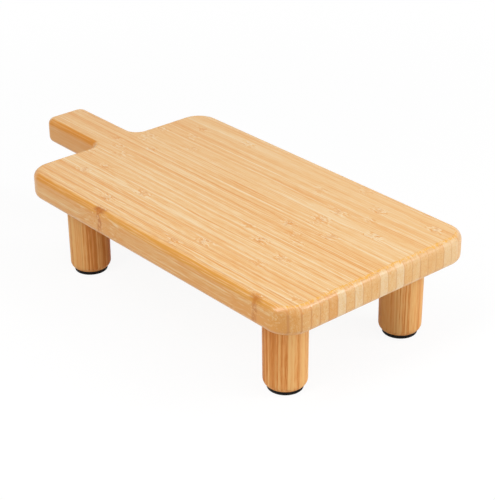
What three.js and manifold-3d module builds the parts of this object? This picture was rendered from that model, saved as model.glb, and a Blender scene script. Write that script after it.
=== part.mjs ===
// Footed serving board of laminated bamboo, in millimetres, +Z up.
// The origin lies under the middle of the whole length, handle included, on the surface that it stands on.
// +X points away from the handle, +Y to the left of someone who holds it.
import * as THREE from 'three';
import { mergeVertices } from 'three/addons/utils/BufferGeometryUtils.js';
import Module from 'manifold-3d';

// Board: a blank glued up from upright bamboo strips, then routed to its outline.
const BOARD_LENGTH = 282;
const BOARD_WIDTH = 165;
const BOARD_THICKNESS = 20;
const BOARD_CORNER_RADIUS = 18;
const BOARD_EDGE_ROUND = 5;
const STRIP_WIDTH = 7.3;

// Handle: a flat tongue of the same blank.
const HANDLE_LENGTH = 70;
const HANDLE_WIDTH = 35;
const HANDLE_CORNER_RADIUS = 7;
const HANDLE_ROOT_FILLET = 8;

// Legs: turned from a square blank of bamboo staves.
const LEG_LENGTH = 56;
const LEG_TOP_DIAMETER = 30;
const LEG_FOOT_DIAMETER = 29.4;
const LEG_FOOT_ROUND = 5.3;
const LEG_STAVE_COUNT = 4;
const LEG_END_INSET = 34;
const LEG_SIDE_INSET = 30;

// Pads: dished rubber discs that hug the rounded foot of each leg and hide its screw.
const PAD_DIAMETER = 24;
const PAD_THICKNESS = 1.7;
const PAD_RIM_RISE = 0.55;
const PAD_EDGE_ROUND = 0.5;

// Screws: countersunk wood screws, driven up through each leg into the board.
const SCREW_LENGTH = 50;
const SCREW_DIAMETER = 5;
const SCREW_TIP_LENGTH = 6;
const SCREW_HEAD_DIAMETER = 9.5;
const SCREW_HEAD_HEIGHT = 2.6;
const SCREW_RECESS_SPAN = 4.6;
const SCREW_RECESS_WIDTH = 1.2;
const SCREW_RECESS_DEPTH = 1.8;
const SCREW_COVER = 6;

// Fits: glue between pieces of bamboo, the pads' adhesive film, and the air around a screw.
const GLUE_LINE = 0.1;
const PAD_FILM = 0.2;
const SCREW_CLEARANCE = 0.3;

// Facets.
const OUTLINE_ARC_STEPS = 5;
const EDGE_ROUND_STEPS = 5;
const FOOT_ROUND_STEPS = 5;
const PAD_EDGE_STEPS = 2;
const LEG_SIDES = 36;
const SCREW_SIDES = 16;
const WELD_DISTANCE = 1e-4;

// Levels, from the standing surface up.
const legBottom = PAD_THICKNESS + PAD_FILM;
const legTop = legBottom + LEG_LENGTH;
const boardBottom = legTop + GLUE_LINE;
const boardTop = boardBottom + BOARD_THICKNESS;
const screwTip = boardTop - SCREW_COVER;
const screwHead = screwTip - SCREW_LENGTH;

// Plan places along X.
const overallLength = BOARD_LENGTH + HANDLE_LENGTH;
const frontEnd = overallLength / 2;
const handleRoot = frontEnd - BOARD_LENGTH;
const handleEnd = handleRoot - HANDLE_LENGTH;

const QUARTER_TURN = Math.PI / 2;

const FINISHES = {
  honey: { color: '#e2b078', roughness: 0.5, metalness: 0 },
  pale: { color: '#ecc99a', roughness: 0.5, metalness: 0 },
  amber: { color: '#d79f63', roughness: 0.5, metalness: 0 },
  leg: { color: '#cf9858', roughness: 0.5, metalness: 0 },
  rubber: { color: '#161412', roughness: 0.85, metalness: 0 },
  zinc: { color: '#b9bcbe', roughness: 0.35, metalness: 1 },
};

// Strips are numbered from the right edge. These few stand out from the honey tone of the rest.
const PALE_STRIPS = [7, 9, 12, 14, 20, 21];
const AMBER_STRIPS = [5, 6, 10, 15];

// Each leg stands where its signs put it, with its staves turned as they happened to be screwed on.
const LEGS = [
  { name: 'front_left', alongX: 1, alongY: 1, turnDegrees: -26 },
  { name: 'front_right', alongX: 1, alongY: -1, turnDegrees: -37 },
  { name: 'rear_left', alongX: -1, alongY: 1, turnDegrees: 15 },
  { name: 'rear_right', alongX: -1, alongY: -1, turnDegrees: -28 },
];

const wasm = await Module();
wasm.setup();

// A closed geometry as a solid that can be cut.
function solidOf(geometry) {
  geometry.deleteAttribute('normal');
  geometry.deleteAttribute('uv');
  const welded = mergeVertices(geometry, WELD_DISTANCE);
  const corners = welded.index.array;
  const triangles = [];
  for (let i = 0; i < corners.length; i += 3) {
    const [a, b, c] = corners.slice(i, i + 3);
    if (a !== b && b !== c && c !== a) triangles.push(a, b, c);
  }
  return new wasm.Manifold(new wasm.Mesh({
    numProp: 3,
    vertProperties: new Float32Array(welded.attributes.position.array),
    triVerts: new Uint32Array(triangles),
  }));
}

// A named piece of the object from its finished solid.
function pieceOf(name, solid, finish) {
  const mesh = solid.getMesh();
  const geometry = new THREE.BufferGeometry();
  geometry.setAttribute('position', new THREE.BufferAttribute(mesh.vertProperties, mesh.numProp));
  geometry.setIndex(new THREE.BufferAttribute(mesh.triVerts, 1));
  geometry.computeVertexNormals();
  const piece = new THREE.Mesh(geometry, new THREE.MeshStandardMaterial(FINISHES[finish]));
  piece.name = name;
  return piece;
}

// A solid of revolution about Z. The profile runs from the axis at the bottom to the axis at the top.
function turned(profile, sides) {
  const points = profile.map(([radius, height]) => new THREE.Vector2(radius, height));
  return solidOf(new THREE.LatheGeometry(points, sides).rotateX(QUARTER_TURN));
}

// Profile points on an arc about (middleRadius, middleHeight). An angle of 0 points straight out.
function profileArc(middleRadius, middleHeight, radius, fromAngle, toAngle, steps) {
  const points = [];
  for (let i = 0; i <= steps; i += 1) {
    const angle = fromAngle + (toAngle - fromAngle) * (i / steps);
    points.push([middleRadius + radius * Math.cos(angle), middleHeight + radius * Math.sin(angle)]);
  }
  return points;
}

// One lamination of a blank: everything between two upright planes, less half a glue line at each.
function layer(low, high) {
  const reach = 2 * (overallLength + boardTop);
  const slab = new THREE.BoxGeometry(reach, high - low - GLUE_LINE, reach);
  return solidOf(slab.translate(0, (low + high) / 2, 0));
}

// The board's outline in plan, anticlockwise, with the handle as a tongue on the rear end.
function boardOutline() {
  const side = BOARD_WIDTH / 2;
  const grip = HANDLE_WIDTH / 2;
  const corner = BOARD_CORNER_RADIUS;
  const tip = HANDLE_CORNER_RADIUS;
  const fillet = HANDLE_ROOT_FILLET;
  const outline = new THREE.Shape();
  outline.absarc(frontEnd - corner, corner - side, corner, -QUARTER_TURN, 0);
  outline.absarc(frontEnd - corner, side - corner, corner, 0, QUARTER_TURN);
  outline.absarc(handleRoot + corner, side - corner, corner, QUARTER_TURN, 2 * QUARTER_TURN);
  outline.absarc(handleRoot - fillet, grip + fillet, fillet, 0, -QUARTER_TURN, true);
  outline.absarc(handleEnd + tip, grip - tip, tip, QUARTER_TURN, 2 * QUARTER_TURN);
  outline.absarc(handleEnd + tip, tip - grip, tip, 2 * QUARTER_TURN, 3 * QUARTER_TURN);
  outline.absarc(handleRoot - fillet, -grip - fillet, fillet, QUARTER_TURN, 0, true);
  outline.absarc(handleRoot + corner, corner - side, corner, 2 * QUARTER_TURN, 3 * QUARTER_TURN);
  outline.closePath();
  return outline;
}

// The routed blank: the outline at mid height, rounded over to both faces.
// The rounding leaves a little of the wall, and stays inside the outline's tightest outer corner.
function boardBlank() {
  const tightestCorner = Math.min(BOARD_CORNER_RADIUS, HANDLE_CORNER_RADIUS);
  const round = Math.min(BOARD_EDGE_ROUND, (BOARD_THICKNESS - GLUE_LINE) / 2, tightestCorner - GLUE_LINE);
  const blank = new THREE.ExtrudeGeometry(boardOutline(), {
    depth: BOARD_THICKNESS - 2 * round,
    bevelThickness: round,
    bevelSize: round,
    bevelOffset: -round,
    bevelSegments: EDGE_ROUND_STEPS,
    curveSegments: OUTLINE_ARC_STEPS,
  });
  return solidOf(blank.translate(0, 0, boardBottom + round));
}

// The stepped hole for one screw: a counterbore up the leg, a countersunk seat, and a bore into the board.
function screwHole() {
  const bore = SCREW_DIAMETER / 2 + SCREW_CLEARANCE;
  const counterbore = SCREW_HEAD_DIAMETER / 2 + SCREW_CLEARANCE;
  return turned([
    [0, 0],
    [counterbore, 0],
    [counterbore, screwHead],
    [bore, screwHead + SCREW_HEAD_HEIGHT],
    [bore, screwTip - SCREW_TIP_LENGTH + SCREW_CLEARANCE],
    [0, screwTip + SCREW_CLEARANCE],
  ], SCREW_SIDES);
}

// A cross of two slots, as the driver's bit leaves it in the screw's head.
function driverRecess() {
  const slot = (alongX, alongY) => solidOf(
    new THREE.BoxGeometry(alongX, alongY, 2 * SCREW_RECESS_DEPTH).translate(0, 0, screwHead),
  );
  return slot(SCREW_RECESS_SPAN, SCREW_RECESS_WIDTH).add(slot(SCREW_RECESS_WIDTH, SCREW_RECESS_SPAN));
}

function screw() {
  const shank = SCREW_DIAMETER / 2;
  return turned([
    [0, screwHead],
    [SCREW_HEAD_DIAMETER / 2, screwHead],
    [shank, screwHead + SCREW_HEAD_HEIGHT],
    [shank, screwTip - SCREW_TIP_LENGTH],
    [0, screwTip],
  ], SCREW_SIDES).subtract(driverRecess());
}

// The foot of the turned leg, grown by a film all over, as profile points from the axis to its full radius.
function footProfile(film) {
  const flat = LEG_FOOT_DIAMETER / 2 - LEG_FOOT_ROUND;
  const middle = legBottom + LEG_FOOT_ROUND;
  const round = profileArc(flat, middle, LEG_FOOT_ROUND + film, -QUARTER_TURN, 0, FOOT_ROUND_STEPS);
  return [[0, legBottom - film], ...round];
}

function legBlank() {
  return turned([...footProfile(0), [LEG_TOP_DIAMETER / 2, legTop], [0, legTop]], LEG_SIDES);
}

// The pad's dish is the shape of the foot that it is stuck to.
function pad() {
  const radius = PAD_DIAMETER / 2;
  const rim = PAD_THICKNESS + PAD_RIM_RISE;
  const round = PAD_EDGE_ROUND;
  const edge = profileArc(radius - round, round, round, -QUARTER_TURN, 0, PAD_EDGE_STEPS);
  const disc = turned([[0, 0], ...edge, [radius, rim], [0, rim]], LEG_SIDES);
  const foot = footProfile(PAD_FILM);
  const [footRadius] = foot[foot.length - 1];
  return disc.subtract(turned([...foot, [footRadius, legTop], [0, legTop]], LEG_SIDES));
}

function stripFinish(number) {
  if (PALE_STRIPS.includes(number)) return 'pale';
  return AMBER_STRIPS.includes(number) ? 'amber' : 'honey';
}

// The blank cut along its glue lines. One strip lies on the middle line. The router trims the outermost two,
// which end up between half a strip and one and a half strips wide.
function boardStrips(board) {
  const besideMiddle = (BOARD_WIDTH - STRIP_WIDTH) / 2;
  const perSide = Math.round(besideMiddle / STRIP_WIDTH);
  const count = 2 * perSide + 1;
  const strips = [];
  for (let i = 0; i < count; i += 1) {
    const middle = (i - perSide) * STRIP_WIDTH;
    const low = i === 0 ? -BOARD_WIDTH : middle - STRIP_WIDTH / 2;
    const high = i === count - 1 ? BOARD_WIDTH : middle + STRIP_WIDTH / 2;
    const number = i + 1;
    const name = `board_strip_${String(number).padStart(2, '0')}`;
    strips.push(pieceOf(name, board.intersect(layer(low, high)), stripFinish(number)));
  }
  return strips;
}

// One leg with its pad and its screw, standing on the origin.
function leg(name) {
  const assembly = new THREE.Group();
  const bored = legBlank().subtract(screwHole());
  const stave = LEG_TOP_DIAMETER / LEG_STAVE_COUNT;
  for (let i = 0; i < LEG_STAVE_COUNT; i += 1) {
    const low = i * stave - LEG_TOP_DIAMETER / 2;
    const cut = bored.intersect(layer(low, low + stave));
    assembly.add(pieceOf(`${name}_leg_stave_${i + 1}`, cut, 'leg'));
  }
  assembly.add(pieceOf(`${name}_leg_screw`, screw(), 'zinc'));
  assembly.add(pieceOf(`${name}_pad`, pad(), 'rubber'));
  return assembly;
}

const servingBoard = new THREE.Group();
let board = boardBlank();
for (const { name, alongX, alongY, turnDegrees } of LEGS) {
  const bodyMiddle = frontEnd - BOARD_LENGTH / 2;
  const x = bodyMiddle + alongX * (BOARD_LENGTH / 2 - LEG_END_INSET);
  const y = alongY * (BOARD_WIDTH / 2 - LEG_SIDE_INSET);
  board = board.subtract(screwHole().translate(x, y, 0));
  const assembly = leg(name);
  assembly.position.set(x, y, 0);
  assembly.rotation.z = THREE.MathUtils.degToRad(turnDegrees);
  servingBoard.add(assembly);
}
servingBoard.add(...boardStrips(board));

export default servingBoard;
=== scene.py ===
# %% [markdown]
# A footed serving board
#
# The object is a board of laminated bamboo with a tongue for a handle, raised on four turned legs with
# black pads. Its solids come from a CAD model that is loaded first and stays as it is. This lesson
# dresses them: every strip of the board and every stave of the legs gets a finer mesh with real grain.

# %% Load the solids that everything is fitted to
import math
from types import SimpleNamespace

import bmesh
import bpy
from mathutils import Matrix, Vector


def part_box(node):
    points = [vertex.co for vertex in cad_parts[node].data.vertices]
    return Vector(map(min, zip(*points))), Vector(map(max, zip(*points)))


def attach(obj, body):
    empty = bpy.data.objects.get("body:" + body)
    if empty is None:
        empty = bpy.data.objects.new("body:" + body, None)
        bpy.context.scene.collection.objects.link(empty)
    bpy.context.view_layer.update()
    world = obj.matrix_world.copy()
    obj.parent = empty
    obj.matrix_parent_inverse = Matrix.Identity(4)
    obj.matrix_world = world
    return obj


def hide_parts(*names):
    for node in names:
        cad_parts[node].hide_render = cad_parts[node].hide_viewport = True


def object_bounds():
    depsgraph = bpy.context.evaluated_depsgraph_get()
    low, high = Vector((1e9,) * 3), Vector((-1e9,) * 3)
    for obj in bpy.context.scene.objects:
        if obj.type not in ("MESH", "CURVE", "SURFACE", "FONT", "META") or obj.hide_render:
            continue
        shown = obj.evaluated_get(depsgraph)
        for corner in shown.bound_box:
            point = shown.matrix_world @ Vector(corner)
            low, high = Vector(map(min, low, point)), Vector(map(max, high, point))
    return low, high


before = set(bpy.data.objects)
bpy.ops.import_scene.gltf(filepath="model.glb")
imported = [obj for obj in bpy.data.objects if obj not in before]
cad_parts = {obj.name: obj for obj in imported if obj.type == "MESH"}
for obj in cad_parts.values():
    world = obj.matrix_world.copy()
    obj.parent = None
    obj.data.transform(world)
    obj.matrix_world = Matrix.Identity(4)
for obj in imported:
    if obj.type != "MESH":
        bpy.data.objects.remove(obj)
cad_low, cad_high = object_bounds()
MM = 0.001
print("CAD box in mm:", [round(side / MM, 1) for side in cad_high - cad_low])

# %% [markdown]
# Shader formulas
#
# A procedural finish is mostly arithmetic on numbers that change over the surface. Placing a Math node
# for every plus sign hides the formula, so one small class wraps a socket and turns Python's operators
# into Math nodes. Everything that isn't arithmetic, such as a noise or a ramp, comes from its node
# method.


# %% A wire: one socket of a shader tree that formulas can use
class Wire:
    def __init__(self, tree, socket=None):
        self.tree = tree
        self.socket = socket

    def node(self, kind, settings=None, inputs=None, output=0):
        """Adds a node, sets it up, feeds its inputs and returns one of its outputs."""
        made = self.tree.nodes.new(kind)
        for name, value in (settings or {}).items():
            if name == "stops":
                set_stops(made.color_ramp.elements, value)
            else:
                setattr(made, name, value)
        for name, value in (inputs or {}).items():
            self.feed(made.inputs[name], value)
        return Wire(self.tree, made.outputs[output])

    def feed(self, socket, value):
        if isinstance(value, Wire):
            self.tree.links.new(value.socket, socket)
        else:
            socket.default_value = value

    def output(self, name):
        """Another output of the node that this wire comes from."""
        return Wire(self.tree, self.socket.node.outputs[name])

    def math(self, operation, *values):
        return self.node("ShaderNodeMath", {"operation": operation}, dict(enumerate(values)))

    def __add__(self, other):
        return self.math("ADD", self, other)

    def __radd__(self, other):
        return self.math("ADD", other, self)

    def __sub__(self, other):
        return self.math("SUBTRACT", self, other)

    def __rsub__(self, other):
        return self.math("SUBTRACT", other, self)

    def __mul__(self, other):
        return self.math("MULTIPLY", self, other)

    def __rmul__(self, other):
        return self.math("MULTIPLY", other, self)

    def __truediv__(self, other):
        return self.math("DIVIDE", self, other)

    def __abs__(self):
        return self.math("ABSOLUTE", self)


def set_stops(elements, stops):
    while len(elements) < len(stops):
        elements.new(1.0)
    for element, (position, color) in zip(elements, stops):
        element.position = position
        element.color = (*color, 1.0)


# %% Small helpers for what the finishes have in common
def new_finish(name):
    """A material, the start of its formulas, and its shader."""
    material = bpy.data.materials.new(name)
    material.use_nodes = True
    shader = material.node_tree.nodes["Principled BSDF"]
    return material, Wire(material.node_tree), shader


def rise(value, low, high):
    """0 below low, 1 above high, and a smooth step between."""
    return value.node(
        "ShaderNodeMapRange",
        {"interpolation_type": "SMOOTHSTEP"},
        {"Value": value, "From Min": low, "From Max": high},
    )


def band(value, low, full, fade, end):
    """0 below low, 1 from full to fade, and 0 again above end."""
    return rise(value, low, full) * (1 - rise(value, fade, end))


def blend(share, under, over):
    """Colour under, with a share of colour over it."""
    return share.node(
        "ShaderNodeMix",
        {"data_type": "RGBA"},
        {0: share, 6: paint(under), 7: paint(over)},
        output=2,
    )


def paint(color):
    return color if isinstance(color, Wire) else (*color, 1.0)


def parts_of(vector):
    """The three numbers of a vector."""
    split = vector.node("ShaderNodeSeparateXYZ", inputs={0: vector})
    return split, split.output(1), split.output(2)


# %% Noise of a given size
NOISE_MEAN = 0.5


def scaled(place, sizes, shift):
    """The place counted in the three sizes, and shifted so that no two strips look alike."""
    return place.node(
        "ShaderNodeVectorMath",
        {"operation": "MULTIPLY_ADD"},
        {0: place, 1: [1 / size for size in sizes], 2: shift},
    )


def noise(place, sizes, shift, detail=2.0):
    """Cloudy noise from 0 to 1, whose blobs are about as large as the three sizes."""
    inputs = {"Vector": scaled(place, sizes, shift), "Scale": 1.0, "Detail": detail}
    return place.node("ShaderNodeTexNoise", inputs=inputs)


def swing(place, sizes, shift, detail=2.0):
    """The same noise, swinging about zero."""
    return noise(place, sizes, shift, detail) - NOISE_MEAN


print("Formulas ready, noise averages", NOISE_MEAN)

# %% [markdown]
# Camera
#
# The board is seen from above its near corner, from a metre away through a long lens, so its edges
# hardly converge. A camera can be aimed with a Track To constraint, but building its axes from azimuth
# and elevation keeps the angles readable and lets the picture lean by the half degree that the
# photograph leans.

# %% Aim the camera
VIEW_AZIMUTH = math.radians(49.52)
VIEW_ELEVATION = math.radians(27.64)
VIEW_LEAN = math.radians(-0.54)
VIEW_DISTANCE = 1.0334
VIEW_LENS = 106.48
AIM_POINT = Vector((0.0400, 0.0038, 0.0387))

flat_reach = math.cos(VIEW_ELEVATION)
view_back = Vector((
    math.sin(VIEW_AZIMUTH) * flat_reach,
    -math.cos(VIEW_AZIMUTH) * flat_reach,
    math.sin(VIEW_ELEVATION),
))
view_right = Vector((math.cos(VIEW_AZIMUTH), math.sin(VIEW_AZIMUTH), 0))
view_up = view_back.cross(view_right)
upright = Matrix((view_right, view_up, view_back)).transposed()
lean = Matrix.Rotation(VIEW_LEAN, 3, "Z")
camera_data = bpy.data.cameras.new("camera")
camera_data.lens = VIEW_LENS
camera = bpy.data.objects.new("camera", camera_data)
camera.matrix_world = Matrix.Translation(AIM_POINT + view_back * VIEW_DISTANCE) @ (upright @ lean).to_4x4()
bpy.context.scene.collection.objects.link(camera)
bpy.context.scene.camera = camera
bpy.context.scene.view_settings.view_transform = "Standard"
print("Camera at", [round(number, 3) for number in camera.matrix_world.translation])

# %% [markdown]
# Light and floor
#
# The light is a plain white studio: soft panels above the board, in front of its end and low on its
# long side, with a pale surround that fills the shade. Two more draw the highlights on the rounded rim,
# a tall one on the left and a slim one on the right. The front panel and the low one are hidden from
# glossy rays, because the varnish would mirror them as white patches when the board is seen along its
# handle or from behind.
#
# The background has to be white without flooding the object with light, so the surround and the floor
# are white only to the rays that a camera or a mirror sends, and duller to all others. The floor still
# takes part of its brightness from the lamps, which keeps the soft shadow under the board.

# %% Surround
SURROUND_LIGHT = 0.15
WHITE = (1.0, 1.0, 1.0)


def seen_directly(start):
    """1 for rays that show the background itself, by sight, in a mirror or through glass."""
    path = start.node("ShaderNodeLightPath")
    glossy = path.output("Is Glossy Ray")
    through = path.output("Is Transmission Ray")
    either = path.math("MAXIMUM", path.output("Is Camera Ray"), glossy)
    return path.math("MAXIMUM", either, through)


surround = bpy.data.worlds.new("surround")
surround.use_nodes = True
surround_start = Wire(surround.node_tree)
surround_seen = seen_directly(surround_start)
surround_strength = surround_seen + (1 - surround_seen) * SURROUND_LIGHT
background = surround.node_tree.nodes["Background"]
background.inputs["Color"].default_value = (*WHITE, 1.0)
surround_start.feed(background.inputs["Strength"], surround_strength)
bpy.context.scene.world = surround
print("Surround at", SURROUND_LIGHT)

# %% Lamps
PANELS = [
    {"name": "panel_above", "place": (0.10, 0.00, 1.25), "width": 0.8, "height": 0.8, "power": 3.0},
    {"name": "panel_front", "place": (1.24, 0.52, 0.60), "width": 1.3, "height": 1.1, "power": 9.2},
    {"name": "panel_low", "place": (-0.10, -1.20, 0.25), "width": 0.8, "height": 0.4, "power": 0.9},
    {"name": "panel_left", "place": (0.12, -0.96, 1.16), "width": 0.5, "height": 1.2, "power": 12.0},
    {"name": "panel_right", "place": (0.84, 0.64, 1.02), "width": 0.28, "height": 0.8, "power": 6.0},
]
UNMIRRORED_PANELS = ("panel_front", "panel_low")

for panel in PANELS:
    panel_data = bpy.data.lights.new(panel["name"], "AREA")
    panel_data.shape = "RECTANGLE"
    panel_data.size = panel["width"]
    panel_data.size_y = panel["height"]
    panel_data.energy = panel["power"]
    lamp = bpy.data.objects.new(panel["name"], panel_data)
    lamp.location = panel["place"]
    lamp.rotation_euler = (AIM_POINT - lamp.location).to_track_quat("-Z", "Y").to_euler()
    lamp.visible_glossy = panel["name"] not in UNMIRRORED_PANELS
    bpy.context.scene.collection.objects.link(lamp)
    print(panel["name"], "gives", panel["power"], "W")

# %% Floor
FLOOR_HALF_SIDE = 6.0
FLOOR_GREY = (0.8, 0.8, 0.8)
FLOOR_SHADOW_SHARE = 0.08
FLOOR_SHADOW_FADE = (0.20, 0.70)

floor_finish, floor_start, _ = new_finish("pale_floor")
floor_shade = floor_start.node("ShaderNodeBsdfDiffuse", inputs={"Color": (*FLOOR_GREY, 1.0)})
floor_lit = floor_start.node("ShaderNodeBsdfDiffuse", inputs={"Color": (*WHITE, 1.0)})
floor_white = floor_start.node("ShaderNodeEmission", inputs={"Strength": 1.0})
floor_place = floor_start.node("ShaderNodeTexCoord", output="Object")
floor_away = floor_start.node(
    "ShaderNodeVectorMath",
    {"operation": "LENGTH"},
    {0: floor_place},
    output="Value",
)
shadow_share = (1 - rise(floor_away, *FLOOR_SHADOW_FADE)) * FLOOR_SHADOW_SHARE
floor_shown = floor_start.node(
    "ShaderNodeMixShader",
    inputs={0: shadow_share, 1: floor_white, 2: floor_lit},
)
floor_mix = floor_start.node(
    "ShaderNodeMixShader",
    inputs={0: seen_directly(floor_start), 1: floor_shade, 2: floor_shown},
)
floor_start.feed(floor_finish.node_tree.nodes["Material Output"].inputs["Surface"], floor_mix)

floor_mesh = bpy.data.meshes.new("floor")
floor_corners = [
    (-FLOOR_HALF_SIDE, -FLOOR_HALF_SIDE, 0),
    (FLOOR_HALF_SIDE, -FLOOR_HALF_SIDE, 0),
    (FLOOR_HALF_SIDE, FLOOR_HALF_SIDE, 0),
    (-FLOOR_HALF_SIDE, FLOOR_HALF_SIDE, 0),
]
floor_mesh.from_pydata(floor_corners, [], [(0, 1, 2, 3)])
floor_mesh.materials.append(floor_finish)
floor = bpy.data.objects.new("floor", floor_mesh)
floor.location.z = cad_low.z
bpy.context.scene.collection.objects.link(floor)
print("Floor at height", floor.location.z)

# %% [markdown]
# Bamboo
#
# A strip of bamboo is a bundle of straight fibres: fine streaks along its length, specks on its cut
# ends. Every 190 mm or so a knuckle crosses it, where the fibres swirl round a scar. An image would
# show that on one face only. Here each mesh carries where every vertex lies in its own strip, along the
# fibres and across them, and a solid texture stretched along the fibres is looked up there, so streaks,
# specks and knuckles meet at every edge. Lengths are in mm in these finishes, because the meshes carry
# their places in mm.


# %% Where a point lies in its strip
def strip_values(start):
    """What add_grain wrote on the mesh: the place in the strip, its tones, knuckles and glue lines."""

    def read(name):
        return start.node("ShaderNodeAttribute", {"attribute_name": name}, output="Vector")

    end_tone, face_tone_and_painted_light, figure = parts_of(read("tone"))
    knuckle, spacing, echo = parts_of(read("knuckle"))
    to_low, to_high, glue = parts_of(read("joint"))
    return SimpleNamespace(
        grain=read("grain"),
        end_tone=end_tone,
        face_tone_and_painted_light=face_tone_and_painted_light,
        figure=figure,
        knuckle=knuckle,
        spacing=spacing,
        echo=echo,
        to_glue=to_low.math("MINIMUM", to_low, to_high),
        glue=glue,
        shift=read("shift"),
    )


# %% [markdown]
# Knuckles
#
# A knuckle is where the cane had a joint: the fibres part, swirl and close again round a brown scar.
# Drawing each one by hand would pin it to one face. Instead a strip knows where its main knuckle lies
# and how far apart the others follow, so the distance to the nearest one is a formula. That distance
# bends the grain, brings in the curls and draws the scar.

# %% Knuckles: where they are
KNUCKLE_REACH = 11.0
KNUCKLE_WAVE = 9.0
KNUCKLE_WAVE_SIZES = (70, 4.5, 8)
FLAME_REACH = 30.0
SCAR_FADE = (0.8, 3.2)
RING_FADE = (1.8, 8.0)
BREAK_SIZES = (2.5, 1.8, 3.0)
BREAK_RISE = (0.36, 0.56)


def knuckles(strip):
    """How near a knuckle, its flame and its scar are, 0 to 1. A strip's main knuckle is the strongest."""
    along, _, _ = parts_of(strip.grain)
    wave = swing(strip.grain, KNUCKLE_WAVE_SIZES, strip.shift, detail=1.5)
    turns = (along - strip.knuckle + wave * KNUCKLE_WAVE) / strip.spacing
    nearest = turns.math("ROUND", turns)
    apart = abs(turns - nearest) * strip.spacing
    strength = 1 - nearest.math("MINIMUM", abs(nearest), 1.0) * (1 - strip.echo)
    breaks = noise(strip.grain, BREAK_SIZES, strip.shift, detail=1.0)
    return SimpleNamespace(
        near=(1 - rise(apart, 0.0, KNUCKLE_REACH)) * strength,
        flame=(1 - rise(apart, 0.0, FLAME_REACH)) * strength,
        scar=(1 - rise(apart, *SCAR_FADE)) * strength,
        ring=(1 - rise(apart, *RING_FADE)) * strength * strength,
        broken=rise(breaks, *BREAK_RISE),
    )


# %% Knuckles: how the fibres bend round them
WANDER_SIZES = (60, 11, 16)
SWIRL_SIZES = (5, 5, 8)
KNUCKLE_BEND = 12.0
FLAME_PINCH = 0.7


def bent_grain(strip, knuckle, sway):
    """The place in the strip, pushed sideways: gently all along, pinched and swirled at a knuckle."""
    _, across, _ = parts_of(strip.grain)
    wander = swing(strip.grain, WANDER_SIZES, strip.shift, detail=1.0)
    swirl = swing(strip.grain, SWIRL_SIZES, strip.shift, detail=1.0)
    push = wander * sway + swirl * knuckle.near * KNUCKLE_BEND + across * knuckle.flame * FLAME_PINCH
    sideways = push.node("ShaderNodeCombineXYZ", inputs={1: push, 2: push})
    return push.node("ShaderNodeVectorMath", {"operation": "ADD"}, {0: strip.grain, 1: sideways})


# %% [markdown]
# Fibres and glue
#
# One noise can't look like bamboo, because its streaks come in several widths at once. So layers of
# noise are stretched along the fibres, from broad clouds down to hairs, and a Voronoi texture adds the
# round bundles of fibres that show as specks on a cut end. The glue between two strips is a thin brown
# line, drawn from the distance to the strip's sides.

# %% Fibres: streaks on a long face, specks on a cut end
CLOUD_SIZES = (400, 3.6, 8.0)
PALE_LINE_SIZES = (260, 1.05, 1.8)
PALE_LINE_RISE = (0.52, 0.68)
DARK_LINE_SIZES = (300, 0.9, 1.6)
DARK_LINE_RISE = (0.54, 0.69)
HAIR_SIZES = (9, 0.55, 0.9)
BUNDLE_SIZES = (45.0, 0.95, 0.95)
SPECK_FADE = (0.10, 0.45)
OTHER_SHIFT = -1.3


def fibre_layers(place, shift, width):
    """Broad clouds, long pale and dark lines, short hair-fine fibres, and the round bundles of fibres."""

    def widened(sizes):
        return sizes[0], sizes[1] * width, sizes[2] * width

    # Pale lines and hairs are shifted another way, so that they don't repeat the dark lines.
    other = place.node("ShaderNodeVectorMath", {"operation": "SCALE"}, {0: shift, "Scale": OTHER_SHIFT})
    bundle = scaled(place, BUNDLE_SIZES, shift)
    from_bundle = place.node("ShaderNodeTexVoronoi", inputs={"Vector": bundle, "Scale": 1.0})
    return SimpleNamespace(
        cloud=swing(place, CLOUD_SIZES, shift, detail=1.0),
        pale=rise(noise(place, widened(PALE_LINE_SIZES), other), *PALE_LINE_RISE),
        dark=rise(noise(place, widened(DARK_LINE_SIZES), shift), *DARK_LINE_RISE),
        hair=swing(place, HAIR_SIZES, other),
        speck=1 - rise(from_bundle, *SPECK_FADE),
    )


# %% Glue lines
GLUE = (0.60, 0.26, 0.07)
GLUE_WIDTH = {"least": 0.2, "dark": 0.7, "cut_end": 0.2}
GLUE_SHARE = {"least": 0.12, "dark": 0.45, "cut_end": 0.33, "patch": 0.5}
PATCH_SIZES = (60, 6, 25)
PATCH_RISE = (0.36, 0.62)


def with_glue(color, strip, cut_end):
    """Glue lines, faint on the long faces, darker and wider on a cut end."""
    width = GLUE_WIDTH["least"] + strip.glue * GLUE_WIDTH["dark"] + cut_end * GLUE_WIDTH["cut_end"]
    line = 1 - rise(strip.to_glue, 0.0, width)
    patchy = rise(noise(strip.grain, PATCH_SIZES, strip.shift, detail=1.0), *PATCH_RISE)
    long_share = strip.glue * (GLUE_SHARE["least"] + strip.glue * GLUE_SHARE["dark"])
    end_share = cut_end * (GLUE_SHARE["cut_end"] + patchy * GLUE_SHARE["patch"])
    return blend(line * (long_share + end_share), color, GLUE)


# %% [markdown]
# The rim
#
# On the rounded top edge the router cut through the fibres at a slant, and the rim is more orange than
# the faces beside it: a ragged line across the ends, streaks along the sides, a brown ring at a
# knuckle. A mask painted on the vertices would be as coarse as the mesh. The normal is finer: on a
# rounding it turns evenly from up to outward, so it tells how far out a point lies.

# %% The rim: where a point lies on the rounded top edge
EDGE_ROUND = 5 * MM
UPPER_RISE = (0.0, 0.1)
SIDEWAYS_RISE = (0.02, 0.12)
HANDLE_FADE = (-25, 110)

rounding = EDGE_ROUND / MM
rounding_start = cad_high.x / MM - rounding
handle_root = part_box("board_strip_05")[0].x


def rim_values(facing):
    """How far out on the rounding a point lies, and whether it is on the upper edge and on a long side."""
    tilt = 1 - facing[2] * facing[2]
    return SimpleNamespace(
        outward=tilt.math("SQRT", tilt) * rounding,
        upper=rise(facing[2], *UPPER_RISE),
        sideways=rise(abs(facing[1]) - abs(facing[0]), *SIDEWAYS_RISE),
    )


# The handle gets a more amber top, quieter streaks and a darker orange rim than the rest of the board.
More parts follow.
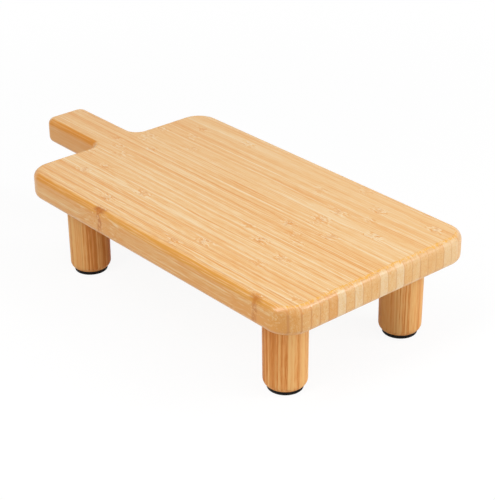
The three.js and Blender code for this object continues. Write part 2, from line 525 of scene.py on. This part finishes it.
def handle_share(strip):
    """1 on the handle, fading out on the board."""
    along, _, _ = parts_of(strip.grain)
    return 1 - rise(along, *(handle_root / MM + place for place in HANDLE_FADE))


print("Rounding of the front end starts at", round(rounding_start, 1), "mm")
print("Root of the handle at", round(handle_root / MM, 1), "mm")

# %% The rim across the ends: a ragged amber line, where the router cut the fibres at a slant
RIM_AMBER = (0.75, 0.365, 0.035)
TOP_FACE_RISE = (0.998, 0.9999)
RAGGED_SIZES = (5.0, 0.9, 3.0)
RAGGED_REACH = 6
DOT_SIZES = (1.8, 0.8, 1.8)
DOT_RISE = (0.40, 0.56)
END_LINE_BAND = (-0.1, 0.7, 1.5, 2.6)


def with_end_line(color, strip, facing, rim):
    along, _, _ = parts_of(strip.grain)
    inward = along.math("MAXIMUM", rounding_start - along, 0.0) * rise(facing[2], *TOP_FACE_RISE)
    ragged = swing(strip.grain, RAGGED_SIZES, strip.shift, detail=1.0)
    dotted = rise(noise(strip.grain, DOT_SIZES, strip.shift, detail=1.0), *DOT_RISE)
    line = band(rim.outward - inward + ragged * RAGGED_REACH, *END_LINE_BAND) * (1 - rim.sideways)
    return blend(line * dotted * rim.upper, color, RIM_AMBER)


# %% The rim along the sides: yellow and orange streaks, and a brown ring at a knuckle
RIM_YELLOW = (0.80, 0.42, 0.075)
RIM_ORANGE = (0.67, 0.295, 0.036)
RIM_HANDLE = (0.63, 0.23, 0.012)
RING = (0.42, 0.118, 0.004)
CORNER_RISE = (0.05, 0.25)
STREAK_SIZES = (32, 1.1, 0.9)
STREAK_RISE = (0.42, 0.57)
YELLOW_BAND = (0.8, 1.5, 1.6, 2.8)
YELLOW_SHARE = {"least": 0.05, "streak": 0.3}
ORANGE_BAND = (1.0, 2.6, 4.7, 5.0)
ORANGE_SHARE = {"least": 0.03, "streak": 0.92, "on_handle": 0.45}
RING_BAND = (0.4, 1.8, 3.4, 4.9)
RING_SHARE = {"least": 0.8, "broken": 0.2}


def with_side_streaks(color, strip, knuckle, on_handle, facing, rim):
    side = (1 - rise(abs(facing[0]), *CORNER_RISE)) * rim.sideways * rim.upper
    streak = rise(noise(strip.grain, STREAK_SIZES, strip.shift), *STREAK_RISE)
    yellow = YELLOW_SHARE["least"] + streak * YELLOW_SHARE["streak"]
    color = blend(side * band(rim.outward, *YELLOW_BAND) * yellow, color, RIM_YELLOW)
    orange = ORANGE_SHARE["least"] + streak * ORANGE_SHARE["streak"] + on_handle * ORANGE_SHARE["on_handle"]
    orange_color = blend(on_handle, RIM_ORANGE, RIM_HANDLE)
    color = blend(side * band(rim.outward, *ORANGE_BAND) * orange, color, orange_color)
    ring = knuckle.ring * (RING_SHARE["least"] + knuckle.broken * RING_SHARE["broken"])
    return blend(side * ring * band(rim.outward, *RING_BAND), color, RING)


# %% [markdown]
# Tone
#
# Bamboo runs from straw through honey to amber, so one number, the tone, looks its colour up on a ramp
# of those three. Mixing a colour for every layer would soon turn muddy. Here a layer only adds to the
# tone or takes from it, which keeps the layers easy to balance.

# %% Cut ends, side faces and flat faces
CUT_END_RISE = (0.20, 0.62)
SIDE_FACE_RISE = (0.25, 0.75)


def faces_of(facing, fibre_axis, sided):
    """How far the normal leans to the fibres' direction tells a cut end from a long face."""
    cut_end = rise(abs(facing[fibre_axis]), *CUT_END_RISE)
    long_face = 1 - cut_end
    side_face = rise(abs(facing[1]), *SIDE_FACE_RISE) * long_face * sided
    return SimpleNamespace(cut_end=cut_end, long=long_face, side=side_face, flat=long_face - side_face)


# %% What each layer and each face adds to the tone: 0.1 is pale, 0.5 is honey and 0.9 is amber
TONE_STOPS = {"pale": 0.1, "honey": 0.5, "amber": 0.9}
CURL_SIZES = (8.5, 3.2, 6.0)
CURL_FADE = (0.01, 0.05)
CURL_LEVELS = {"pale": 0.46, "dark": 0.56}
CURL_ON_SIDE = 0.1
DRIFT_SIZES = (110, 9, 20)
SPECK_MEAN = 0.3
# How much streaks stand out near a knuckle, and how much less on other faces and on the handle.
LIVELINESS = SimpleNamespace(knuckle=0.7, cut_end=-0.65, side=-0.4, on_handle=-0.25)
TONE = SimpleNamespace(
    dark_line=0.46,
    pale_line=-0.44,
    cloud=0.9,
    hair=0.7,
    dark_curl=0.9,
    pale_curl=-0.65,
    drift=0.35,
    cut_end=0.06,
    side=0.33,
    handle_flat=0.08,
    handle_side=0.03,
    speck=0.05,
    cut_speck=0.22,
)
print("Tones on the ramp:", TONE_STOPS)


# %% The tone of a point
def streak_tone(strip, knuckle, fibres, faces, on_handle):
    """The fibres' own share of the tone."""
    lines = fibres.dark * TONE.dark_line + fibres.pale * TONE.pale_line
    streaks = lines + fibres.cloud * TONE.cloud + fibres.hair * TONE.hair
    on_flat = 1 + knuckle.near * LIVELINESS.knuckle * faces.flat
    on_others = LIVELINESS.cut_end * faces.cut_end + LIVELINESS.side * faces.side
    return streaks * strip.figure * (on_flat + on_others + LIVELINESS.on_handle * on_handle)


def curl_tone(strip, knuckle, faces):
    """Small pale and dark curls at a knuckle."""
    curl = noise(strip.grain, CURL_SIZES, strip.shift, detail=1.5)
    pale = 1 - rise(abs(curl - CURL_LEVELS["pale"]), *CURL_FADE)
    dark = 1 - rise(abs(curl - CURL_LEVELS["dark"]), *CURL_FADE)
    curls = dark * TONE.dark_curl + pale * TONE.pale_curl
    return curls * knuckle.near * (faces.flat + faces.side * CURL_ON_SIDE)


def tone_of(strip, knuckle, fibres, faces, on_handle, end_contrast):
    drift = swing(strip.grain, DRIFT_SIZES, strip.shift, detail=1.0)
    tone = TONE_STOPS["honey"] + streak_tone(strip, knuckle, fibres, faces, on_handle)
    tone = tone + curl_tone(strip, knuckle, faces) + drift * TONE.drift
    tone = tone + (strip.end_tone * end_contrast + TONE.cut_end) * faces.cut_end
    # On the legs this face tone also carries painted light and shade.
    tone = tone + strip.face_tone_and_painted_light * faces.flat + faces.side * TONE.side
    tone = tone + on_handle * (faces.flat * TONE.handle_flat + faces.side * TONE.handle_side)
    return tone + (fibres.speck - SPECK_MEAN) * (TONE.speck + faces.cut_end * TONE.cut_speck)


# %% Duller cut ends with painted shade on their top rounding, and a knuckle's broken brown scar, darkest on the board's side
# A brown that makes a cut end a little duller all over, and paints shade on its top rounding
END_DULLING_AND_PAINTED_SHADE = (0.25, 0.15, 0.08)
END_DULLING_AND_PAINTED_SHADE_SHARE = {"least": 0.06, "painted_shade": 0.18}
PAINTED_SHADE_RISE = (0.1, 0.6)
SCAR = (0.53, 0.165, 0.012)
SCAR_SHARE = {"least": 0.26, "side": 0.69}


# Painted shade: a share that grows as the normal turns up darkens the top rounding of a cut end, which the
# lamps light more than the flat end; a small share dulls the whole cut end.
def with_dull_end_and_painted_shade(color, faces, facing):
    painted_shade = rise(facing[2], *PAINTED_SHADE_RISE)
    share = faces.cut_end * (END_DULLING_AND_PAINTED_SHADE_SHARE["least"] + painted_shade * END_DULLING_AND_PAINTED_SHADE_SHARE["painted_shade"])
    return blend(share, color, END_DULLING_AND_PAINTED_SHADE)


def with_scar(color, knuckle, faces):
    share = SCAR_SHARE["least"] + faces.side * SCAR_SHARE["side"]
    return blend(knuckle.scar * knuckle.broken * faces.long * share, color, SCAR)


# %% [markdown]
# Surface
#
# The board is varnished to a satin sheen, and the legs are bare. A fine bump raises the fibres, and the
# roughness follows them. The varnish could be a glossy shader mixed in, but the Principled shader's
# coat is that same layer in one socket.

# %% Surface: satin, with raised fibres and a varnish
ROUGHNESS = {"least": 0.46, "hair": 0.3, "cut_end": 0.06}
FIBRE_BUMP = 0.08
FIBRE_HEIGHT = 0.1 * MM
SPECK_HEIGHT = 0.4
SMOOTH_KNUCKLE_RISE = (0.0, 0.3)
ROUNDED_BAND = (0.05, 0.25, 0.97, 0.995)
FRONT_RISE = (0.1, 0.3)
POLISH = 0.8
COAT_ROUGHNESS = 0.27


def add_surface(start, shader, knuckle, fibres, cut_end):
    roughness = ROUGHNESS["least"] + fibres.hair * ROUGHNESS["hair"] + cut_end * ROUGHNESS["cut_end"]
    start.feed(shader.inputs["Roughness"], roughness)
    raised = (fibres.hair + fibres.speck * SPECK_HEIGHT) * (1 - rise(knuckle.near, *SMOOTH_KNUCKLE_RISE))
    bump_inputs = {"Strength": FIBRE_BUMP, "Distance": FIBRE_HEIGHT, "Height": raised}
    start.feed(shader.inputs["Normal"], start.node("ShaderNodeBump", inputs=bump_inputs))


def add_varnish(start, shader, facing, coat):
    """A varnish, polished most on the rounding of the front end, which shows clear highlights."""
    polished = band(facing[2], *ROUNDED_BAND) * rise(facing[0], *FRONT_RISE)
    start.feed(shader.inputs["Coat Weight"], coat * (1 + polished * POLISH))
    shader.inputs["Coat Roughness"].default_value = COAT_ROUGHNESS


# %% The bamboo finish
BOARD_TONES = {"pale": (0.815, 0.595, 0.335), "honey": (0.775, 0.462, 0.180), "amber": (0.71, 0.315, 0.065)}
LEG_TONES = {"pale": (0.83, 0.49, 0.19), "honey": (0.77, 0.355, 0.113), "amber": (0.60, 0.212, 0.048)}


def bamboo(name, fibre_axis, tones, streak_width, sway, end_contrast, sided, specular, coat):
    """A satin bamboo finish, for pieces whose fibres run along the frame's axis 0 (X), 1 (Y) or 2 (Z)."""
    material, start, shader = new_finish(name)
    strip = strip_values(start)
    knuckle = knuckles(strip)
    fibres = fibre_layers(bent_grain(strip, knuckle, sway), strip.shift, streak_width)
    facing = parts_of(start.node("ShaderNodeNewGeometry", output="Normal"))
    faces = faces_of(facing, fibre_axis, sided)
    rim = rim_values(facing)
    on_handle = handle_share(strip)

    tone = tone_of(strip, knuckle, fibres, faces, on_handle, end_contrast)
    stops = [(position, tones[level]) for level, position in TONE_STOPS.items()]
    color = start.node("ShaderNodeValToRGB", {"stops": stops}, {"Fac": tone})
    color = with_dull_end_and_painted_shade(color, faces, facing)
    color = with_glue(color, strip, faces.cut_end)
    color = with_end_line(color, strip, facing, rim)
    color = with_side_streaks(color, strip, knuckle, on_handle, facing, rim)
    start.feed(shader.inputs["Base Color"], with_scar(color, knuckle, faces))

    add_surface(start, shader, knuckle, fibres, faces.cut_end)
    shader.inputs["Specular IOR Level"].default_value = specular
    if coat:
        add_varnish(start, shader, facing, coat)
    return material


board_bamboo = bamboo(
    "board_bamboo",
    fibre_axis=0,
    tones=BOARD_TONES,
    streak_width=1.0,
    sway=2.5,
    end_contrast=0.34,
    sided=1.0,
    specular=0.2,
    coat=0.55,
)
leg_bamboo = bamboo(
    "leg_bamboo",
    fibre_axis=2,
    tones=LEG_TONES,
    streak_width=1.6,
    sway=1.0,
    end_contrast=0.10,
    sided=0.0,
    specular=0.06,
    coat=0.0,
)
print("Finishes:", board_bamboo.name, leg_bamboo.name)

# %% [markdown]
# From mesh to piece
#
# Every piece below is cut from a blank: the strips from the routed board, the staves from a turned leg.
# A bmesh can be sliced by a plane and its open cut filled, which is what the saw did. Smooth shading
# would smear the rounded edges into the flat faces, so a Weighted Normal modifier lets the large faces
# decide.

# %% Slice a blank between two planes
CUT_TOLERANCE = 1e-7


def slice_between(blank, direction, low, high):
    """A copy of the blank between two planes square to the direction, with its cuts closed."""
    part = blank.copy()
    for place, outward in ((low, -direction), (high, direction)):
        everything = part.verts[:] + part.edges[:] + part.faces[:]
        bmesh.ops.bisect_plane(
            part,
            geom=everything,
            dist=CUT_TOLERANCE,
            plane_co=direction * place,
            plane_no=outward,
            clear_outer=True,
        )
        open_edges = [edge for edge in part.edges if edge.is_boundary]
        bmesh.ops.holes_fill(part, edges=open_edges, sides=0)
    bmesh.ops.recalc_face_normals(part, faces=part.faces[:])
    return part


# %% Turn a bmesh into a piece that stands for its CAD node
CREASE_ANGLE = math.radians(40)


def make_piece(shape, name, node, material):
    mesh = bpy.data.meshes.new(name)
    shape.to_mesh(mesh)
    shape.free()
    mesh.shade_smooth()
    mesh.set_sharp_from_angle(angle=CREASE_ANGLE)
    mesh.materials.append(material)
    piece = bpy.data.objects.new(name, mesh)
    bpy.context.scene.collection.objects.link(piece)
    piece.modifiers.new("even_shading", "WEIGHTED_NORMAL").keep_sharp = True
    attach(piece, "root")
    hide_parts(node)
    return piece


# %% Write the grain on a piece
FAR_FROM_GLUE = 100.0
STRIP_SHIFT = Vector((91.0, 47.0, 73.0))


def add_grain(piece, place_in_strip, strip):
    """Stores, in mm, where each vertex lies in its strip, with the strip's own numbers and glue lines."""
    mesh = piece.data
    columns = {"grain": [], "joint": [], "tone": [], "knuckle": [], "shift": []}
    for vertex in mesh.vertices:
        along, across, up = (number / MM for number in place_in_strip(vertex.co))
        to_low = FAR_FROM_GLUE if strip.glue_low is None else across - strip.glue_low / MM
        to_high = FAR_FROM_GLUE if strip.glue_high is None else strip.glue_high / MM - across
        columns["grain"] += [along, across, up]
        columns["joint"] += [to_low, to_high, strip.glue]
        columns["tone"] += [strip.end_tone, strip.face_tone_and_painted_light, strip.figure]
        columns["knuckle"] += [strip.knuckle, strip.spacing, strip.echo]
        columns["shift"] += list(STRIP_SHIFT * strip.seed)
    for name, numbers in columns.items():
        mesh.attributes.new(name, "FLOAT_VECTOR", "POINT").data.foreach_set("vector", numbers)


print("Pieces crease above", round(math.degrees(CREASE_ANGLE)), "degrees")

# %% [markdown]
# The board
#
# The board was glued up from upright strips, sawn to its outline and rounded over with a router. The
# blank is made in a like order: the outline as arcs, a ring of it for each step of the rounding, the
# rings joined into a closed skin, blind holes for the four screws, and then the saw cuts along the glue
# lines. A Boolean could drill the holes, but filling the bottom face round their mouths keeps the mesh
# clean.

# %% The outline, drawn in by any inset
CORNER_RADIUS = 18 * MM
HANDLE_HALF_WIDTH = 17.5 * MM
HANDLE_CORNER_RADIUS = 7 * MM
HANDLE_ROOT_FILLET = 8 * MM
ARC_STEPS = 20

front_x = cad_high.x - CORNER_RADIUS
rear_x = handle_root + CORNER_RADIUS
corner_y = cad_high.y - CORNER_RADIUS
fillet_x = handle_root - HANDLE_ROOT_FILLET
fillet_y = HANDLE_HALF_WIDTH + HANDLE_ROOT_FILLET
tip_x = cad_low.x + HANDLE_CORNER_RADIUS
tip_y = HANDLE_HALF_WIDTH - HANDLE_CORNER_RADIUS

# The middle of each arc, its radius, and the angles in degrees that it runs from and to.
OUTLINE_ARCS = [
    (front_x, -corner_y, CORNER_RADIUS, -90, 0),
    (front_x, corner_y, CORNER_RADIUS, 0, 90),
    (rear_x, corner_y, CORNER_RADIUS, 90, 180),
    (fillet_x, fillet_y, HANDLE_ROOT_FILLET, 0, -90),
    (tip_x, tip_y, HANDLE_CORNER_RADIUS, 90, 180),
    (tip_x, -tip_y, HANDLE_CORNER_RADIUS, 180, 270),
    (fillet_x, -fillet_y, HANDLE_ROOT_FILLET, 90, 0),
    (rear_x, -corner_y, CORNER_RADIUS, 180, 270),
]


def outline_ring(inset):
    """The outline moved inwards: outer corners get tighter and the handle's fillets wider."""
    points = []
    for middle_x, middle_y, radius, from_angle, to_angle in OUTLINE_ARCS:
        turned_out = 1 if to_angle > from_angle else -1
        for step in range(ARC_STEPS + 1):
            angle = math.radians(from_angle + (to_angle - from_angle) * step / ARC_STEPS)
            reach = radius - turned_out * inset
            points.append((middle_x + reach * math.cos(angle), middle_y + reach * math.sin(angle)))
    return points


print("Outline of", len(outline_ring(0)), "points")

# %% The routed blank
ROUND_STEPS = 8

board_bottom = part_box("board_strip_12")[0].z
board_top = cad_high.z


def edge_levels():
    """Inset and height of each ring, from the bottom face round to the top face."""
    levels = []
    for step in range(ROUND_STEPS + 1):
        angle = math.radians(90 * step / ROUND_STEPS)
        levels.append((EDGE_ROUND * (1 - math.sin(angle)), EDGE_ROUND * (1 - math.cos(angle))))
    lower = [(inset, board_bottom + rise_up) for inset, rise_up in levels]
    upper = [(inset, board_top - rise_up) for inset, rise_up in reversed(levels)]
    return lower + upper


def join_loops(shape, below, above):
    """A band of quads between two loops of vertices."""
    for i in range(len(below)):
        j = (i + 1) % len(below)
        shape.faces.new((below[i], below[j], above[j], above[i]))


def skin_of(rings, closed_ends):
    """A bmesh of joined rings of points, with a face on each end or the last ring joined to the first."""
    shape = bmesh.new()
    loops = [[shape.verts.new(point) for point in ring] for ring in rings]
    for below, above in zip(loops, loops[1:]):
        join_loops(shape, below, above)
    if closed_ends:
        shape.faces.new(loops[0][::-1])
        shape.faces.new(loops[-1])
    else:
        join_loops(shape, loops[-1], loops[0])
    return shape


board_rings = [[(x, y, height) for x, y in outline_ring(inset)] for inset, height in edge_levels()]
board_blank = skin_of(board_rings, closed_ends=True)
print("Blank of", len(board_blank.faces), "faces")

# %% Blind holes for the screws
SCREW_BORE_RADIUS = 2.8 * MM
SCREW_TIP_ROOM = 0.3 * MM
BORE_SIDES = 32

screws = [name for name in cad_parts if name.endswith("_leg_screw")]


def middle_of(node):
    """The middle of a CAD node's box, seen from above."""
    low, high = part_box(node)
    return Vector(((low.x + high.x) / 2, (low.y + high.y) / 2, 0))


def turn_angles(sides):
    """The angles of a full turn in even steps."""
    return [2 * math.pi * side / sides for side in range(sides)]


def bore(shape, middle, bottom, top):
    """Adds the wall and the end of a blind hole, and returns the edges of its mouth."""
    circle = []
    for angle in turn_angles(BORE_SIDES):
        circle.append(middle + SCREW_BORE_RADIUS * Vector((math.cos(angle), math.sin(angle), 0)))
    mouth = [shape.verts.new((point.x, point.y, bottom)) for point in circle]
    end = [shape.verts.new((point.x, point.y, top)) for point in circle]
    join_loops(shape, mouth, end)
    shape.faces.new(end)
    return [shape.edges.get((mouth[side - 1], mouth[side])) for side in range(BORE_SIDES)]


bottom_face = min(board_blank.faces, key=lambda face: face.calc_center_median().z)
bottom_edges = list(bottom_face.edges)
bmesh.ops.delete(board_blank, geom=[bottom_face], context="FACES_ONLY")
for screw in screws:
    hole_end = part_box(screw)[1].z + SCREW_TIP_ROOM
    bottom_edges += bore(board_blank, middle_of(screw), board_bottom, hole_end)
bmesh.ops.triangle_fill(board_blank, use_beauty=True, edges=bottom_edges)
print(len(screws), "holes, open edges left:", sum(edge.is_boundary for edge in board_blank.edges))

# %% What sets each strip apart
STRIP_COUNT = 23
# Tones of the cut ends, from the right edge to the left: negative ones are pale, positive ones amber.
END_TONES = [
    1.0, 0.75, 0.55, 0.42, 0.28, 0.9, -0.75, 0.25, -0.75, 0.3, 0.15, -0.75,
    0.0, -0.9, 0.22, -0.25, 0.25, 0.2, 0.25, -0.75, -0.6, 0.1, 0.2,
]
# Strips whose top stands out, by number.
TOP_TONES = {
    1: 0.24, 2: 0.1, 6: -0.05, 7: 0.1, 8: -0.05, 9: -0.15, 10: 0.05,
    12: 0.14, 16: -0.1, 18: 0.05, 19: 0.05,
}
# The main knuckle of each strip, in mm from the middle of the whole length. Some lie past the board's end.
STRIP_KNUCKLES = [
    -15, 54, -26, 70, -75, -15, 121, 92, 262, 300, 290, 86,
    119, 288, 97, 137, 96, 310, 252, 114, 158, 275, 330,
]
FIRST_KNUCKLE_SPACING = 162
KNUCKLE_SPACING = 190
FIRST_KNUCKLE_ECHO = 0.72
KNUCKLE_ECHO = 0.4
# Streaks stand out more on the strips at the right edge.
LIVELY_FIGURE = 1.55
QUIET_FIGURE = 0.56
# Glue lines are darkest there too.
DARKEST_GLUE = 1.0
FAINTEST_GLUE = 0.35
GLUE_FADE = 0.1
print(len(END_TONES), "end tones and", len(STRIP_KNUCKLES), "knuckles for", STRIP_COUNT, "strips")

# %% Saw the strips
GLUE_LINE = 0.1 * MM
GOLDEN_STEP = 0.618034
ACROSS_BOARD = Vector((0, 1, 0))

for index in range(STRIP_COUNT):
    node = f"board_strip_{index + 1:02d}"
    strip_low, strip_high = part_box(node)
    first = index == 0
    last = index == STRIP_COUNT - 1
    saw_low = strip_low.y if first else strip_low.y - GLUE_LINE / 2
    saw_high = strip_high.y if last else strip_high.y + GLUE_LINE / 2
    middle = (saw_low + saw_high) / 2
    shape = slice_between(board_blank, ACROSS_BOARD, saw_low, saw_high)
    piece = make_piece(shape, f"strip_{index + 1:02d}", node, board_bamboo)
    strip = SimpleNamespace(
        end_tone=END_TONES[index],
        face_tone_and_painted_light=TOP_TONES.get(index + 1, 0.0),
        figure=LIVELY_FIGURE + (QUIET_FIGURE - LIVELY_FIGURE) * index / STRIP_COUNT,
        knuckle=STRIP_KNUCKLES[index],
        spacing=FIRST_KNUCKLE_SPACING if first else KNUCKLE_SPACING,
        echo=FIRST_KNUCKLE_ECHO if first else KNUCKLE_ECHO,
        seed=(index * GOLDEN_STEP) % 1,
        glue=max(FAINTEST_GLUE, DARKEST_GLUE - GLUE_FADE * index),
        glue_low=None if first else saw_low - middle,
        glue_high=None if last else saw_high - middle,
    )
    add_grain(piece, lambda point: (point.x, point.y - middle, point.z - board_bottom), strip)
board_blank.free()
print(STRIP_COUNT, "strips")

# %% [markdown]
# The legs
#
# Each leg was turned on a lathe from a square blank of staves and bored for its screw. A profile is
# spun into a closed ring round the bore, and then sliced along the glue lines of the staves, which face
# a different way on every leg.

# %% The turned leg
LEG_TOP_RADIUS = 15.0 * MM
LEG_FOOT_RADIUS = 14.7 * MM
LEG_FOOT_ROUND = 5.3 * MM
SCREW_SEAT_RADIUS = 5.05 * MM
SCREW_HEAD_HEIGHT = 2.6 * MM
LATHE_SIDES = 96
FOOT_STEPS = 10

leg_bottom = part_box("front_left_leg_stave_2")[0].z
leg_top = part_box("front_left_leg_stave_2")[1].z
screw_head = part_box("front_left_leg_screw")[0].z


def foot_arc(film):
    """Profile of the rounded foot, grown by a film, from its flat bottom up to the full radius."""
    middle_radius = LEG_FOOT_RADIUS - LEG_FOOT_ROUND
    middle_height = leg_bottom + LEG_FOOT_ROUND
    reach = LEG_FOOT_ROUND + film
    points = []
    for step in range(FOOT_STEPS + 1):
        angle = math.radians(-90 * (1 - step / FOOT_STEPS))
        points.append((middle_radius + reach * math.cos(angle), middle_height + reach * math.sin(angle)))
    return points


def spun(profile, sides, closed_ends):
    """The profile, as pairs of radius and height, turned about the Z axis."""
    angles = turn_angles(sides)
    rings = []
    for radius, height in profile:
        rings.append([(radius * math.cos(angle), radius * math.sin(angle), height) for angle in angles])
    return skin_of(rings, closed_ends)


leg_profile = [
    *foot_arc(0.0),
    (LEG_TOP_RADIUS, leg_top),
    (SCREW_BORE_RADIUS, leg_top),
    (SCREW_BORE_RADIUS, screw_head + SCREW_HEAD_HEIGHT),
    (SCREW_SEAT_RADIUS, screw_head),
    (SCREW_SEAT_RADIUS, leg_bottom),
]
leg_blank = spun(leg_profile, LATHE_SIDES, closed_ends=False)
print("Leg blank of", len(leg_blank.faces), "faces")

# %% What sets each leg apart
STAVE_COUNT = 4
LEG_TURNS = {"front_left": -26, "front_right": -37, "rear_left": 15, "rear_right": -28}
# Each stave's tone is partly its own and partly painted light and shade: paler on staves that need more
# light than the lamps give them, or a sheen at the leg's edge, and darker on staves turned into the shade
# under the board.
STAVE_TONES_AND_PAINTED_LIGHT = {
    "front_left": (-0.05, -0.1, -0.15, -0.25),
    "front_right": (0.2, 0.08, -0.12, -0.4),
    "rear_left": (0.05, -0.1, 0.1, 0.0),
    "rear_right": (-0.1, 0.22, 0.2, 0.45),
}
# The middle staves show the edges of their fibre bundles, the outer ones their quiet flat side.
STAVE_FIGURES = (1.0, 1.75, 1.75, 1.0)
STAVE_GLUE = 0.7
NO_KNUCKLE = 130.0
print("The legs are turned by", LEG_TURNS, "degrees")

# %% Saw the staves of each leg
STAVE_WIDTH = 2 * LEG_TOP_RADIUS / STAVE_COUNT

for leg_index, (leg, turn) in enumerate(LEG_TURNS.items()):
    placed = Matrix.Translation(middle_of(f"{leg}_pad")) @ Matrix.Rotation(math.radians(turn), 4, "Z")
    back = placed.inverted()
    for index in range(STAVE_COUNT):
        saw_low = (index - STAVE_COUNT / 2) * STAVE_WIDTH
        saw_high = saw_low + STAVE_WIDTH
        middle = (saw_low + saw_high) / 2
        shape = slice_between(leg_blank, ACROSS_BOARD, saw_low, saw_high)
        shape.transform(placed)
        node = f"{leg}_leg_stave_{index + 1}"
        piece = make_piece(shape, f"{leg}_stave_{index + 1}", node, leg_bamboo)

        def place_in_stave(point):
            local = back @ point
            return local.z, local.y - middle, local.x

        stave = SimpleNamespace(
            end_tone=0.0,
            face_tone_and_painted_light=STAVE_TONES_AND_PAINTED_LIGHT[leg][index],
            figure=STAVE_FIGURES[index],
            knuckle=NO_KNUCKLE,
            spacing=KNUCKLE_SPACING,
            echo=KNUCKLE_ECHO,
            seed=((leg_index * STAVE_COUNT + index + STRIP_COUNT) * GOLDEN_STEP) % 1,
            glue=STAVE_GLUE,
            glue_low=None if index == 0 else -STAVE_WIDTH / 2,
            glue_high=None if index == STAVE_COUNT - 1 else STAVE_WIDTH / 2,
        )
        add_grain(piece, place_in_stave, stave)
leg_blank.free()
print(len(LEG_TURNS) * STAVE_COUNT, "staves")

# %% [markdown]
# Pads
#
# A black rubber disc is stuck under each foot, dished so that it hugs the rounded end and hides the
# screw. It is spun from a profile too. Rubber is never quite black: a fine grain in its roughness and
# bump keeps it from looking flat.

# %% Rubber finish
RUBBER_DARK = (0.005, 0.0045, 0.004)
RUBBER_DUSTY = (0.014, 0.012, 0.010)
RUBBER_GRAIN = 0.35 * MM
RUBBER_GRAIN_HEIGHT = 0.1 * MM
RUBBER_BUMP = 0.4
RUBBER_DUST = 6 * MM
DUST_RISE = (0.35, 0.75)
RUBBER_ROUGHNESS = 0.72
RUBBER_ROUGHNESS_SWING = 0.3
RUBBER_SPECULAR = 0.15
NO_SHIFT = (0, 0, 0)


def rubber(name):
    material, start, shader = new_finish(name)
    place = start.node("ShaderNodeTexCoord", output="Object")
    grain = noise(place, [RUBBER_GRAIN] * 3, NO_SHIFT, detail=3.0)
    dust = noise(place, [RUBBER_DUST] * 3, NO_SHIFT)
    start.feed(shader.inputs["Base Color"], blend(rise(dust, *DUST_RISE), RUBBER_DARK, RUBBER_DUSTY))
    roughness = RUBBER_ROUGHNESS + (grain - NOISE_MEAN) * RUBBER_ROUGHNESS_SWING
    start.feed(shader.inputs["Roughness"], roughness)
    bump_inputs = {"Strength": RUBBER_BUMP, "Distance": RUBBER_GRAIN_HEIGHT, "Height": grain}
    start.feed(shader.inputs["Normal"], start.node("ShaderNodeBump", inputs=bump_inputs))
    shader.inputs["Specular IOR Level"].default_value = RUBBER_SPECULAR
    return material


pad_rubber = rubber("pad_rubber")
print("Finish:", pad_rubber.name)

# %% Spin the pads
PAD_EDGE_ROUND = 0.5 * MM
PAD_FILM = 0.2 * MM
PAD_EDGE_STEPS = 5

for leg in LEG_TURNS:
    node = f"{leg}_pad"
    pad_low, pad_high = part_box(node)
    pad_radius = (pad_high.x - pad_low.x) / 2
    rim_angle = -math.asin((leg_bottom + LEG_FOOT_ROUND - pad_high.z) / (LEG_FOOT_ROUND + PAD_FILM))
    edge = []
    for step in range(PAD_EDGE_STEPS + 1):
        angle = math.radians(90 * step / PAD_EDGE_STEPS)
        radius = pad_radius - PAD_EDGE_ROUND * (1 - math.sin(angle))
        edge.append((radius, pad_low.z + PAD_EDGE_ROUND * (1 - math.cos(angle))))
    full_dish = [(radius, height) for radius, height in foot_arc(PAD_FILM) if height < pad_high.z]
    rim_radius = LEG_FOOT_RADIUS - LEG_FOOT_ROUND + (LEG_FOOT_ROUND + PAD_FILM) * math.cos(rim_angle)
    dish = [(rim_radius, pad_high.z), *reversed(full_dish)]
    shape = spun([*edge, (pad_radius, pad_high.z), *dish], LATHE_SIDES, closed_ends=True)
    bmesh.ops.recalc_face_normals(shape, faces=shape.faces[:])
    shape.transform(Matrix.Translation(middle_of(node)))
    make_piece(shape, f"{leg}_rubber_pad", node, pad_rubber)
print(len(LEG_TURNS), "pads")

# %% [markdown]
# Screws
#
# The screws hide inside the legs. Their CAD solids are right as they are, so they only get a finish:
# bright zinc with faint turning marks.

# %% Zinc finish
ZINC_BRIGHT = (0.62, 0.63, 0.65)
ZINC_DULL = (0.44, 0.45, 0.47)
MARK_SIZES = (4 * MM, 4 * MM, 0.3 * MM)
MARK_RISE = (0.3, 0.7)
ZINC_ROUGHNESS = 0.3
ZINC_ROUGHNESS_SWING = 0.2


def zinc(name):
    material, start, shader = new_finish(name)
    place = start.node("ShaderNodeTexCoord", output="Object")
    marks = noise(place, MARK_SIZES, NO_SHIFT)
    start.feed(shader.inputs["Base Color"], blend(rise(marks, *MARK_RISE), ZINC_DULL, ZINC_BRIGHT))
    start.feed(shader.inputs["Roughness"], ZINC_ROUGHNESS + (marks - NOISE_MEAN) * ZINC_ROUGHNESS_SWING)
    shader.inputs["Metallic"].default_value = 1.0
    return material


screw_zinc = zinc("screw_zinc")
for screw in screws:
    screw_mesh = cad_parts[screw].data
    screw_mesh.materials.clear()
    screw_mesh.materials.append(screw_zinc)
print(len(screws), "screws")
